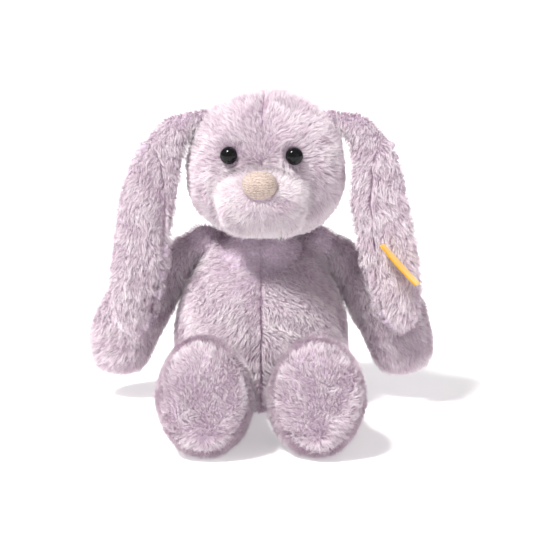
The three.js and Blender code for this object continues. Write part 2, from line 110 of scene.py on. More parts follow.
class Shader:
    """A node material round one Principled shader."""

    def __init__(self, name: str, **sockets: object) -> None:
        """Starts the material.

        Args:
            name: The material's name.
            sockets: Values for the shader's own sockets, with _ for a space.
        """
        self.material = bpy.data.materials.new(name)
        self.material.use_nodes = True
        self.tree = self.material.node_tree
        self.surface = self.tree.nodes["Principled BSDF"]
        for key, value in sockets.items():
            self.surface.inputs[key.replace("_", " ")].default_value = value

    def add(self, kind: str, settings: dict | None = None, **sockets: object) -> bpy.types.Node:
        """Adds a node.

        Args:
            kind: The node's type.
            settings: Its properties.
            sockets: Its inputs; a socket as the value is linked.

        Returns:
            The new node.
        """
        node = self.tree.nodes.new(kind)
        for key, value in (settings or {}).items():
            setattr(node, key, value)
        for key, value in sockets.items():
            target = node.inputs[key.replace("_", " ")]
            if isinstance(value, bpy.types.NodeSocket):
                self.tree.links.new(value, target)
            else:
                target.default_value = value
        return node

    def ramp(self, factor: bpy.types.NodeSocket, stops: list[tuple[float, tuple]]) -> bpy.types.NodeSocket:
        """A colour ramp.

        Args:
            factor: The socket that drives it.
            stops: Places from 0 to 1 and their colours.

        Returns:
            The ramp's colour socket.
        """
        node = self.add("ShaderNodeValToRGB", Fac=factor)
        band = node.color_ramp
        band.elements[0].position, band.elements[0].color = stops[0][0], (*stops[0][1], 1)
        band.elements[1].position, band.elements[1].color = stops[-1][0], (*stops[-1][1], 1)
        for place, colour in stops[1:-1]:
            band.elements.new(place).color = (*colour, 1)
        return node.outputs["Color"]

    def object_place(self, scale: tuple = (1, 1, 1), turn: tuple = (0, 0, 0)) -> bpy.types.NodeSocket:
        """Object coordinates through a mapping.

        Args:
            scale: The mapping's scale.
            turn: The mapping's rotation, in radians.

        Returns:
            The mapped coordinates.
        """
        coordinates = self.add("ShaderNodeTexCoord").outputs["Object"]
        return self.add("ShaderNodeMapping", Vector=coordinates, Scale=scale, Rotation=turn).outputs["Vector"]

    def noise(self, place: bpy.types.NodeSocket, scale: float, detail: float = 3.0) -> bpy.types.NodeSocket:
        """Noise at a place; the scale is features to the metre."""
        node = self.add("ShaderNodeTexNoise", Vector=place, Scale=scale, Detail=detail)
        return node.outputs["Fac"]

    def multiply(self, a: bpy.types.NodeSocket, b: bpy.types.NodeSocket) -> bpy.types.NodeSocket:
        """Two colours multiplied."""
        node = self.add("ShaderNodeMix", {"data_type": "RGBA", "blend_type": "MULTIPLY"})
        node.inputs["Factor"].default_value = 1.0
        colour_a, colour_b = (s for s in node.inputs if s.type == "RGBA")
        self.tree.links.new(a, colour_a)
        self.tree.links.new(b, colour_b)
        return next(s for s in node.outputs if s.type == "RGBA")

    def bump(self, height: bpy.types.NodeSocket, depth: float, strength: float = 1.0) -> None:
        """Puts a bump on the surface.

        Args:
            height: The height pattern.
            depth: Its depth in metres.
            strength: Its strength.
        """
        node = self.add("ShaderNodeBump", Height=height, Distance=depth, Strength=strength)
        self.tree.links.new(node.outputs["Normal"], self.surface.inputs["Normal"])

    def colour(self, source: bpy.types.NodeSocket) -> "Shader":
        """Links the base colour and hands the shader back."""
        self.tree.links.new(source, self.surface.inputs["Base Color"])
        return self


@dataclass(frozen=True)
class PileFinish:
    """Soft fibre whose colour runs from its root to its tip and from strand to strand; darker at the root as painted
    shade deep in the pile, and darker at the seams as painted shade in the partings.
    """

    name: str
    root: tuple
    middle: tuple
    tip: tuple
    # Dark end of the U ramp: painted shade on the strands in a seam's parting, standing for the shade in its groove.
    parting: tuple = (0.6, 0.45, 0.56)
    shaded: tuple = (0.88, 0.84, 0.875)
    bright: tuple = (1.0, 1.0, 1.0)

    def material(self) -> bpy.types.Material:
        """Builds the material over the strands' own map: along U the strand's tone, down to painted shade at the
        seams' partings, along V root to tip.
        """
        shader = Shader(
            self.name,
            Roughness=0.72,
            IOR=1.45,
            Specular_IOR_Level=0.2,
            Sheen_Weight=0.35,
            Sheen_Roughness=0.45,
            Sheen_Tint=(0.95, 0.88, 0.96, 1),
        )
        uv = shader.add("ShaderNodeUVMap", {"uv_map": BAKE_MAP}).outputs["UV"]
        parts = shader.add("ShaderNodeSeparateXYZ", Vector=uv)
        # V ramp: the darker, more saturated root is painted shade and interreflection deep in the pile; the tip is the
        # fibre's own colour.
        along = shader.ramp(parts.outputs["Y"], [(0.0, self.root), (0.4, self.middle), (0.95, self.tip)])
        # U ramp: painted shade at the seams' partings at its dark end, the strands' random tone above it.
        shade = shader.ramp(parts.outputs["X"], [(0.0, self.parting), (0.45, self.shaded), (1.0, self.bright)])
        return shader.colour(shader.multiply(along, shade)).material


@dataclass(frozen=True)
class BackingFinish:
    """Knitted backing cloth with the roots of its pile."""

    name: str
    deep: tuple
    pale: tuple

    def material(self) -> bpy.types.Material:
        """Builds the material: mottled roots over rows of small loops."""
        shader = Shader(self.name, Roughness=0.9, Specular_IOR_Level=0.1, Sheen_Weight=0.3, Sheen_Roughness=0.5)
        place = shader.object_place()
        mottle = shader.noise(place, 700.0, 4.0)
        loops = shader.add(
            "ShaderNodeTexWave", {"bands_direction": "DIAGONAL"}, Vector=place, Scale=420.0, Distortion=6.0
        ).outputs["Fac"]
        shader.bump(mottle, 0.2 * MM)
        rows = shader.ramp(loops, [(0.0, (0.86, 0.84, 0.86)), (1.0, (1, 1, 1))])
        return shader.colour(shader.multiply(shader.ramp(mottle, [(0.3, self.deep), (0.7, self.pale)]), rows)).material


@dataclass(frozen=True)
class FibreFinish:
    """Loose white polyester fibre."""

    name: str = "fibrefill"

    def material(self) -> bpy.types.Material:
        """Builds the material: drawn-out curls of fibre."""
        shader = Shader(self.name, Roughness=0.85, Sheen_Weight=0.2, Sheen_Roughness=0.4)
        place = shader.object_place(scale=(1, 1, 0.35))
        curl = shader.add("ShaderNodeTexNoise", Vector=place, Scale=520.0, Detail=6.0, Distortion=1.8).outputs["Fac"]
        shader.bump(curl, 0.8 * MM)
        return shader.colour(shader.ramp(curl, [(0.25, (0.78, 0.77, 0.74)), (0.7, (0.94, 0.935, 0.92))])).material


@dataclass(frozen=True)
class KnitFinish:
    """Fine ribbed knit of a soft beige yarn."""

    name: str = "nose_knit"
    deep: tuple = (0.3, 0.225, 0.2)
    pale: tuple = (0.66, 0.555, 0.5)

    def material(self) -> bpy.types.Material:
        """Builds the material: slubbed yarn with a slight halo."""
        shader = Shader(self.name, Roughness=0.8, Specular_IOR_Level=0.2, Sheen_Weight=0.3, Sheen_Roughness=0.4)
        place = shader.object_place(scale=(1, 1, 2.4))
        yarn = shader.noise(place, 900.0, 5.0)
        twist = shader.add(
            "ShaderNodeTexWave", {"bands_direction": "Z"}, Vector=shader.object_place(), Scale=190.0, Distortion=2.5
        ).outputs["Fac"]
        shader.bump(yarn, 0.35 * MM)
        rows = shader.ramp(twist, [(0.0, (0.84, 0.8, 0.78)), (1.0, (1, 1, 1))])
        return shader.colour(shader.multiply(shader.ramp(yarn, [(0.3, self.deep), (0.62, self.pale)]), rows)).material


@dataclass(frozen=True)
class PlasticFinish:
    """Moulded plastic with a faint flow pattern."""

    name: str
    base: tuple
    light: tuple
    roughness: float
    gloss: float

    def material(self) -> bpy.types.Material:
        """Builds the material: a polish that varies slightly over the moulding."""
        shader = Shader(self.name, Roughness=self.roughness, IOR=1.5, Specular_IOR_Level=self.gloss)
        flow = shader.noise(shader.object_place(), 160.0, 2.0)
        return shader.colour(shader.ramp(flow, [(0.3, self.base), (0.7, self.light)])).material


@dataclass(frozen=True)
class WovenFinish:
    """Plain woven cloth or ribbon."""

    name: str
    deep: tuple
    pale: tuple
    threads: float
    roughness: float = 0.6

    def material(self) -> bpy.types.Material:
        """Builds the material: warp and weft that cross, with slubs."""
        shader = Shader(self.name, Roughness=self.roughness, Sheen_Weight=0.25, Sheen_Roughness=0.35)
        place = shader.object_place(turn=(0, math.radians(38), 0))
        waves = [
            shader.add("ShaderNodeTexWave", {"bands_direction": axis}, Vector=place, Scale=self.threads).outputs["Fac"]
            for axis in ("X", "Z")
        ]
        weave = shader.add("ShaderNodeMath", {"operation": "MULTIPLY"})
        for source, target in zip(waves, weave.inputs):
            shader.tree.links.new(source, target)
        shader.bump(weave.outputs[0], 0.12 * MM, 0.7)
        cloth = shader.ramp(weave.outputs[0], [(0.0, self.deep), (0.8, self.pale)])
        slubs = shader.ramp(shader.noise(place, 260.0), [(0.3, (0.93, 0.93, 0.93)), (0.7, (1, 1, 1))])
        return shader.colour(shader.multiply(cloth, slubs)).material


@dataclass(frozen=True)
class FloorFinish:
    """Pale matt floor."""

    name: str = "studio_floor"

    def material(self) -> bpy.types.Material:
        """Builds the material."""
        shader = Shader(
            self.name, Roughness=0.95, Specular_IOR_Level=0.05, Emission_Color=(1, 1, 1, 1), Emission_Strength=0.35
        )
        grain = shader.noise(shader.object_place(), 9.0)
        return shader.colour(shader.ramp(grain, [(0.0, (0.93, 0.93, 0.935)), (1.0, (0.95, 0.95, 0.95))])).material


class Finishes:
    """Every finish, built once."""

    def __init__(self) -> None:
        """Builds the materials."""
        # Both piles are darker at the root than at the tip: painted shade deep in the pile.
        self.plush = PileFinish("plush", (0.58, 0.43, 0.53), (0.87, 0.785, 0.83), (0.985, 0.96, 0.96)).material()
        self.plush_light = PileFinish(
            "plush_light", (0.74, 0.63, 0.69), (0.93, 0.88, 0.89), (0.99, 0.975, 0.97)
        ).material()
        self.backing = BackingFinish("plush_backing", (0.5, 0.38, 0.5), (0.72, 0.62, 0.72)).material()
        self.backing_light = BackingFinish("plush_light_backing", (0.58, 0.46, 0.58), (0.78, 0.69, 0.78)).material()
        self.fibre = FibreFinish().material()
        self.knit = KnitFinish().material()
        self.black = PlasticFinish("eye_plastic", (0.004, 0.004, 0.005), (0.007, 0.007, 0.008), 0.06, 0.2).material()
        self.white = PlasticFinish("washer_plastic", (0.8, 0.8, 0.78), (0.87, 0.87, 0.85), 0.4, 0.5).material()
        self.cotton = WovenFinish("pouch_cotton", (0.6, 0.57, 0.5), (0.86, 0.83, 0.76), 450.0, 0.9).material()
        self.ribbon = WovenFinish("tag_ribbon", (0.93, 0.48, 0.02), (1.0, 0.58, 0.04), 600.0, 0.5).material()
        self.label = WovenFinish("label_ribbon", (0.78, 0.77, 0.75), (0.94, 0.93, 0.91), 600.0, 0.45).material()


# ---------------------------------------------------------------- meshes


def placed(name: str, data: bpy.types.ID) -> bpy.types.Object:
    """A new object in the scene."""
    obj = bpy.data.objects.new(name, data)
    bpy.context.scene.collection.objects.link(obj)
    return obj


def declare(piece: bpy.types.Object, body: str, nodes: list[str]) -> None:
    """Puts a piece on the body that it rides on and hides the nodes that it stands for.

    Args:
        piece: The piece.
        body: The body that it rides on.
        nodes: The nodes that it stands for.
    """
    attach(piece, body)
    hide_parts(*nodes)


def smooth(bm: bmesh.types.BMesh, rounds: int) -> None:
    """Relaxes every vertex halfway towards its neighbours, a number of times."""
    for _ in range(rounds):
        bmesh.ops.smooth_vert(bm, verts=bm.verts, factor=0.5, use_axis_x=True, use_axis_y=True, use_axis_z=True)


def frame_along(axis: Vector, origin: Vector) -> Matrix:
    """A matrix that lays +Z along an axis and moves to an origin."""
    return Matrix.Translation(origin) @ axis.to_track_quat("Z", "Y").to_matrix().to_4x4()


def merged_nodes(nodes: list[str]) -> bmesh.types.BMesh:
    """Copies of nodes in one mesh, each closed.

    Args:
        nodes: The nodes' names.

    Returns:
        A mesh that the caller frees.
    """
    bm = bmesh.new()
    for node in nodes:
        bm.from_mesh(frame["nodes"][node].data)
    bmesh.ops.remove_doubles(bm, verts=bm.verts, dist=0.01 * MM)
    return bm


def finish_object(name: str, bm: bmesh.types.BMesh, material: bpy.types.Material) -> bpy.types.Object:
    """Turns a mesh in progress into a linked, smooth-shaded object at the origin.

    Args:
        name: The object's name.
        bm: The mesh, which is freed.
        material: Its finish.

    Returns:
        The object.
    """
    mesh = bpy.data.meshes.new(name)
    for face in bm.faces:
        face.smooth = True
    bm.to_mesh(mesh)
    bm.free()
    mesh.materials.append(material)
    return placed(name, mesh)


def with_modifier(bm: bmesh.types.BMesh, kind: str, settings: dict) -> bmesh.types.BMesh:
    """Passes a mesh through one modifier and applies it.

    Args:
        bm: The mesh, which is freed.
        kind: The modifier's type.
        settings: Its properties.

    Returns:
        The new mesh.
    """
    mesh = bpy.data.meshes.new("passing")
    bm.to_mesh(mesh)
    bm.free()
    obj = placed("passing", mesh)
    modifier = obj.modifiers.new(kind.title(), kind)
    for key, value in settings.items():
        setattr(modifier, key, value)
    evaluated = obj.evaluated_get(bpy.context.evaluated_depsgraph_get())
    result = bmesh.new()
    result.from_mesh(evaluated.to_mesh())
    evaluated.to_mesh_clear()
    bpy.data.objects.remove(obj)
    bpy.data.meshes.remove(mesh)
    return result


def keep_biggest_shell(bm: bmesh.types.BMesh) -> None:
    """Deletes every loose shell but the one with the most vertices."""
    bm.verts.ensure_lookup_table()
    seen: set[int] = set()
    shells = []
    for start in bm.verts:
        if start.index in seen:
            continue
        shell, queue = [], [start]
        seen.add(start.index)
        while queue:
            vert = queue.pop()
            shell.append(vert)
            for edge in vert.link_edges:
                other = edge.other_vert(vert)
                if other.index not in seen:
                    seen.add(other.index)
                    queue.append(other)
        shells.append(shell)
    shells.sort(key=len)
    loose = [vert for shell in shells[:-1] for vert in shell]
    bmesh.ops.delete(bm, geom=loose, context="VERTS")


def move_along_normals(bm: bmesh.types.BMesh, distances: np.ndarray) -> None:
    """Moves every vertex out along its normal by its own distance."""
    bm.normal_update()
    for vert, distance in zip(bm.verts, distances):
        vert.co += vert.normal * float(distance)


def vertex_places(bm: bmesh.types.BMesh) -> np.ndarray:
    """Every vertex's place, one row each."""
    return np.array([v.co for v in bm.verts])


def puffed(bm: bmesh.types.BMesh, cap: float) -> bmesh.types.BMesh:
    """Blows a closed skin up with cloth under pressure.

    Args:
        bm: The skin, which is freed.
        cap: How far a point may move.

    Returns:
        The puffed skin.
    """
    before = vertex_places(bm)
    mesh = bpy.data.meshes.new("skin")
    bm.to_mesh(mesh)
    obj = placed("skin", mesh)
    cloth = obj.modifiers.new("Puff", "CLOTH")
    cloth.settings.use_pressure = True
    cloth.settings.uniform_pressure_force = CLOTH_PRESSURE
    cloth.settings.effector_weights.gravity = 0.0
    cloth.collision_settings.use_collision = False
    cloth.point_cache.frame_start, cloth.point_cache.frame_end = 1, CLOTH_FRAMES
    scene = bpy.context.scene
    for number in range(1, CLOTH_FRAMES + 1):
        scene.frame_set(number)
    evaluated = obj.evaluated_get(bpy.context.evaluated_depsgraph_get())
    after = np.array([v.co for v in evaluated.data.vertices])
    scene.frame_set(1)
    bpy.data.objects.remove(obj)
    bpy.data.meshes.remove(mesh)
    shift = after - before
    reach = np.linalg.norm(shift, axis=1, keepdims=True)
    shift *= np.minimum(1.0, cap / np.maximum(reach, 1e-9))
    for vert, place in zip(bm.verts, before + shift):
        vert.co = place
    return bm


# ---------------------------------------------------------------- pile


@dataclass(frozen=True)
class Zone:
    """A ball in which the pile is thinner, or missing, and leans away."""

    centre: Vector
    radius: float
    share: float = 0.0
    lean: float = 4.0 * MM


@dataclass(frozen=True)
class Seam:
    """A plane that a seam follows."""

    point: Vector
    normal: Vector
    depth: float = 1.8 * MM
    width: float = 3.2 * MM
    # How strongly the pile parts at the seam and is painted darker there as shade in the groove; below zero it leans
    # across the seam and is painted lighter.
    part: float = 1.0
    near: tuple[Vector, float] | None = None

    def distance(self, places: np.ndarray) -> np.ndarray:
        """Signed distances from the seam's plane."""
        return (places - np.array(self.point)) @ np.array(self.normal.normalized())

    def shown(self, places: np.ndarray) -> np.ndarray:
        """How much the seam shows, 0 to 1: everywhere, or fading away from one place."""
        if self.near is None:
            return np.ones(len(places))
        away = np.linalg.norm(places - np.array(self.near[0]), axis=1)
        return np.clip(2 - away / self.near[1], 0.12, 1)

    def outward(self, places: np.ndarray) -> np.ndarray:
        """The way off the seam at each place, on the side where the place lies."""
        return np.sign(self.distance(places))[:, None] * np.array(self.normal.normalized())


@dataclass(frozen=True)
class RingSeam(Seam):
    """A seam round an upright oval that faces forward, with a groove and painted shade on the pile along its edge for
    the creases round the muzzle.
    """

    oval: "Oval | None" = None

    def distance(self, places: np.ndarray) -> np.ndarray:
        """Distances from the oval's edge, below zero inside it."""
        return (np.sqrt(self.oval.value(places)) - 1) * min(self.oval.radii)

    def shown(self, places: np.ndarray) -> np.ndarray:
        """1 on the front, fading out behind it and towards the chin."""
        offset = places - np.array(self.point)
        ahead = np.clip(1 + (offset @ np.array(self.normal)) / (14 * MM), 0, 1)
        return ahead * np.clip(1.35 + offset[:, 2] / (26 * MM), 0.15, 1)

    def outward(self, places: np.ndarray) -> np.ndarray:
        """The way off the oval's edge."""
        offset = places - np.array(self.point)
        offset -= (offset @ np.array(self.normal))[:, None] * np.array(self.normal)
        return np.sign(self.distance(places))[:, None] * unit(offset)


@dataclass(frozen=True)
class Flow:
    """Which way the pile lies: a constant way, plus a way out from a point."""

    along: tuple = (0.0, 0.0, -1.0)
    away_from: Vector | None = None
    away: float = 0.0

    def at(self, places: np.ndarray) -> np.ndarray:
        """The way at each place."""
        way = np.tile(np.array(self.along, float), (len(places), 1))
        if self.away_from is not None:
            out = places - np.array(self.away_from)
            way += self.away * out / np.maximum(np.linalg.norm(out, axis=1, keepdims=True), 1e-9)
        return way


def unit(rows: np.ndarray) -> np.ndarray:
    """Every row at length one."""
    return rows / np.maximum(np.linalg.norm(rows, axis=1, keepdims=True), 1e-9)


def ripple(places: np.ndarray, size: float, rng: np.random.Generator, waves: int = 6) -> np.ndarray:
    """Smooth noise, about -1 to 1.

    Args:
        places: Where it is read.
        size: How big its features are.
        rng: Where its waves are drawn from.
        waves: How many waves are summed.

    Returns:
        One number a place.
    """
    total = np.zeros(len(places))
    for _ in range(waves):
        way = rng.normal(size=3)
        way *= rng.uniform(0.6, 1.5) * 2 * math.pi / (size * np.linalg.norm(way))
        total += np.sin(places @ way + rng.uniform(0, 2 * math.pi))
    return total / math.sqrt(waves)


@dataclass(frozen=True)
class Pile:
    """Long soft pile made of tapering strands that lie over in locks."""

    length: float = 5.6 * MM
    width: float = 0.26 * MM
    density: float = 3.7e6
    lift_root: float = 20.0
    lift_tip: float = 66.0
    lock_size: int = 10
    lock_pull: float = 0.34
    wander: float = 0.42
    parting_reach: float = 6.0 * MM
    segments: int = 2

    def roots(self, bm: bmesh.types.BMesh, zones: list[Zone], rng: np.random.Generator) -> tuple:
        """Scatters roots evenly over a hide.

        Args:
            bm: The hide.
            zones: Where the pile is thinner.
            rng: Where the places are drawn from.

        Returns:
            The roots' places and normals.
        """
        triangles = bm.calc_loop_triangles()
        corners = np.array([[loop.vert.co for loop in t] for t in triangles])
        normals = np.array([[loop.vert.normal for loop in t] for t in triangles])
        areas = np.linalg.norm(np.cross(corners[:, 1] - corners[:, 0], corners[:, 2] - corners[:, 0]), axis=1) / 2
        count = int(areas.sum() * self.density)
        chosen = np.searchsorted(np.cumsum(areas) / areas.sum(), rng.random(count))
        chosen = np.minimum(chosen, len(areas) - 1)
        a, b = np.sqrt(rng.random(count)), rng.random(count)
        weights = np.stack([1 - a, a * (1 - b), a * b], axis=1)[:, :, None]
        places = (corners[chosen] * weights).sum(1)
        ways = unit((normals[chosen] * weights).sum(1))
        kept = np.ones(count, bool)
        luck = rng.random(count)
        for zone in zones:
            inside = np.linalg.norm(places - np.array(zone.centre), axis=1) < zone.radius
            kept &= ~(inside & (luck > zone.share))
        return places[kept], ways[kept]

    def lay(self, places: np.ndarray, ways: np.ndarray, flow: Flow, seams: list[Seam], zones: list[Zone],
            parting: float, rng: np.random.Generator) -> tuple:
        """Works out which way each strand lies, and how dark it is: a random tone, with painted shade near the seams.

        Args:
            places: The roots.
            ways: The hide's normals there.
            flow: The pile's own way.
            seams: Seams that it parts at.
            zones: Places that it leans away from.
            parting: How strongly it parts.
            rng: Where its wandering is drawn from.

        Returns:
            Tangents, and shades from 0, dark, to 1, bright.
        """
        tangent = flow.at(places)
        tangent -= ways * (tangent * ways).sum(1, keepdims=True)
        tangent = unit(tangent)
        side = np.cross(ways, tangent)
        swing = self.wander * (ripple(places, 22 * MM, rng) + 0.8 * ripple(places, 8 * MM, rng))
        tangent = tangent * np.cos(swing)[:, None] + side * np.sin(swing)[:, None]
        shade = 0.55 + 0.16 * ripple(places, 16 * MM, rng) + 0.13 * rng.normal(size=len(places))
        for seam in seams:
            distance = seam.distance(places)
            near = np.clip(1 - np.abs(distance) / self.parting_reach, 0, 1)
            away = seam.outward(places)
            away = away - ways * (away * ways).sum(1, keepdims=True)
            broken = np.clip(0.75 + 0.45 * ripple(places, 9 * MM, rng), 0, 1.2)
            part = seam.part * parting * seam.shown(places) * broken
            tangent = tangent + (part * 1.1 * near)[:, None] * unit(away)
            # Painted shade: strands near a seam are darkened for the shade in its groove; a seam whose part is below
            # zero paints them lighter.
            shade -= part * 0.34 * np.clip(1 - np.abs(distance) / (0.5 * self.parting_reach), 0, 1)
        for zone in zones:
            if zone.share == 0:
                out = places - np.array(zone.centre)
                gap = np.linalg.norm(out, axis=1) - zone.radius
                near = np.clip(1 - gap / zone.lean, 0, 1)
                out = out - ways * (out * ways).sum(1, keepdims=True)
                tangent = tangent + 2.2 * near[:, None] * unit(out)
        return unit(tangent), np.clip(shade, 0.01, 0.95)

    def strands(self, places: np.ndarray, ways: np.ndarray, tangent: np.ndarray, reach: float,
                rng: np.random.Generator) -> tuple:
        """Bends every strand over and draws it into its lock.

        Args:
            places: The roots.
            ways: The hide's normals there.
            tangent: Which way the strands lie.
            reach: Share of the full length.
            rng: Where the differences are drawn from.

        Returns:
            Strand points and the ribbons' half widths as vectors, each strand by strand.
        """
        count = len(places)
        lift = np.radians(np.linspace(self.lift_root, self.lift_tip, self.segments))[None, :]
        lift = lift + np.radians(rng.normal(0, 9, (count, 1)))
        length = self.length * reach * rng.uniform(0.72, 1.1, (count, 1)) / self.segments
        length = length * (1 + 0.12 * ripple(places, 9 * MM, rng))[:, None]
        scatter = unit(tangent + rng.normal(0, 0.16, (count, 3)))
        steps = np.cos(lift)[:, :, None] * ways[:, None] + np.sin(lift)[:, :, None] * scatter[:, None]
        reached = places[:, None] + np.cumsum(steps * length[:, :, None], axis=1)
        points = np.concatenate([places[:, None], reached], axis=1)

        leaders = rng.choice(count, max(1, count // self.lock_size), replace=False)
        tree = KDTree(len(leaders))
        for number, leader in enumerate(leaders):
            tree.insert(places[leader], number)
        tree.balance()
        leader_of = leaders[np.array([tree.find(place)[1] for place in places])]
        offsets = points[leader_of] - points
        pull = np.linspace(0, 1, self.segments + 1)[None, :, None] ** 1.4
        strength = np.clip(rng.normal(self.lock_pull, 0.2, (count, 1, 1)), 0, 0.9)
        points += offsets * pull * strength

        along = unit((points[:, -1] - points[:, 0]))
        across = np.cross(along, ways) + rng.normal(0, 0.45, (count, 3)) * 0.6
        across = unit(across - along * (across * along).sum(1, keepdims=True))
        return points, across * (self.width / 2) * rng.uniform(0.7, 1.15, (count, 1))

    def grown(self, name: str, bm: bmesh.types.BMesh, panel: "Panel", seams: list[Seam], zones: list[Zone],
              material: bpy.types.Material, seed: int) -> bpy.types.Object:
        """Grows the pile on a hide as one object.

        Args:
            name: The object's name.
            bm: The hide.
            panel: Says which way it lies, how long it is and how it parts.
            seams: Seams that it parts at.
            zones: Where it is thinner or leans away.
            material: Its finish.
            seed: Makes it the same each run.

        Returns:
            The pile's object.
        """
        rng = np.random.default_rng(seed)
        places, ways = self.roots(bm, zones, rng)
        tangent, shade = self.lay(places, ways, panel.flow, seams, zones, panel.parting, rng)
        points, half = self.strands(places, ways, tangent, panel.reach, rng)
        points[:, :, 2] = np.maximum(points[:, :, 2], FLOOR_CLEARANCE)
        return self.ribbons(name, points, half, shade, material)

    def ribbons(self, name: str, points: np.ndarray, half: np.ndarray, shade: np.ndarray,
                material: bpy.types.Material) -> bpy.types.Object:
        """Makes tapering ribbons through the strands' points.

        Args:
            name: The object's name.
            points: Strand points, strand by strand.
            half: The ribbons' half widths as vectors.
            shade: How bright each strand is.
            material: Its finish.

        Returns:
            The object.
        """
        count, rows = len(points), self.segments
        widths = np.linspace(1.0, 0.55, rows)[None, :, None]
        left = points[:, :-1] - half[:, None] * widths
        right = points[:, :-1] + half[:, None] * widths
        pairs = np.stack([left, right], axis=2).reshape(count, rows * 2, 3)
        vertices = np.concatenate([pairs, points[:, -1:]], axis=1)
        each = rows * 2 + 1
        loops = [corner for row in range(rows - 1)
                 for corner in (2 * row, 2 * row + 1, 2 * row + 3, 2 * row + 2)] + [each - 3, each - 2, each - 1]
        sizes = np.array([4] * (rows - 1) + [3])
        corners = (np.array(loops)[None, :] + each * np.arange(count)[:, None]).ravel()
        starts = np.concatenate([[0], np.cumsum(np.tile(sizes, count))[:-1]])
        mesh = bpy.data.meshes.new(name)
        mesh.vertices.add(count * each)
        mesh.vertices.foreach_set("co", vertices.astype(np.float32).ravel())
        mesh.loops.add(len(corners))
        mesh.loops.foreach_set("vertex_index", corners.astype(np.int32))
        mesh.polygons.add(len(starts))
        mesh.polygons.foreach_set("loop_start", starts.astype(np.int32))
        mesh.update(calc_edges=True)
        mesh.validate()
        mesh.polygons.foreach_set("use_smooth", np.ones(len(mesh.polygons), bool))

        row_of = np.array([corner // 2 for corner in range(each)])
        v = 0.02 + 0.96 * row_of / rows
        u_side = np.array([corner % 2 for corner in range(each - 1)] + [0.5]) * 0.03
        uv = np.empty((count, each, 2), np.float32)
        uv[:, :, 0] = shade[:, None] + u_side[None, :]
        uv[:, :, 1] = v[None, :]
        layer = mesh.uv_layers.new(name=BAKE_MAP)
        layer.data.foreach_set("uv", uv.reshape(-1, 2)[corners].ravel())
        mesh.materials.append(material)
        return placed(name, mesh)


LONG_PILE = Pile()
EAR_PILE = Pile(length=5.8 * MM)
SHORT_PILE = Pile(length=4.6 * MM, width=0.26 * MM, density=4.6e6, lift_root=10.0, lift_tip=50.0, lock_pull=0.2,
                  parting_reach=4 * MM)
SOLE_PILE = Pile(length=5.0 * MM, width=0.28 * MM, density=4.0e6, lift_root=14.0, lift_tip=58.0, wander=0.6)


# ---------------------------------------------------------------- stuffed forms


@dataclass
class Cut:
    """Keeps the part of a hide on one side of a seam."""

    seam: Seam
    keep: int

    def apply(self, bm: bmesh.types.BMesh) -> None:
        """Cuts the mesh along the seam and clears the other side."""
        bmesh.ops.bisect_plane(
            bm,
            geom=bm.verts[:] + bm.edges[:] + bm.faces[:],
            plane_co=self.seam.point,
            plane_no=self.seam.normal,
            clear_outer=self.keep < 0,
            clear_inner=self.keep > 0,
        )
        rim = [v for v in bm.verts if v.is_boundary]
        bmesh.ops.remove_doubles(bm, verts=rim, dist=0.3 * MM)


@dataclass
class Oval:
    """An upright oval that marks out a patch of hide, whatever its depth."""

    centre: Vector
    radii: tuple
    turn: float = 0.0

    def value(self, places: np.ndarray) -> np.ndarray:
        """Below 1 inside the oval, above 1 outside it."""
        offset = places - np.array(self.centre)
        aside = math.cos(-self.turn) * offset[:, 0] - math.sin(-self.turn) * offset[:, 1]
        return (aside / self.radii[0]) ** 2 + (offset[:, 2] / self.radii[1]) ** 2

    def trim(self, bm: bmesh.types.BMesh, keep_inside: bool) -> None:
        """Deletes the faces on one side of the oval's edge."""
        middles = np.array([f.calc_center_median() for f in bm.faces])
        inside = self.value(middles) < 1
        gone = [f for f, within in zip(bm.faces, inside) if bool(within) != keep_inside]
        bmesh.ops.delete(bm, geom=gone, context="FACES")


@dataclass
class Panel:
    """One sewn piece of hide and the pile on it."""

    node: str
    cuts: list[Cut]
    flow: Flow
    pile: Pile = LONG_PILE
    light: bool = False
    patch: Oval | None = None
    inside_patch: bool = True
    reach: float = 1.0
    # How strongly the pile parts at its seams and is painted darker there as shade.
    parting: float = 1.0


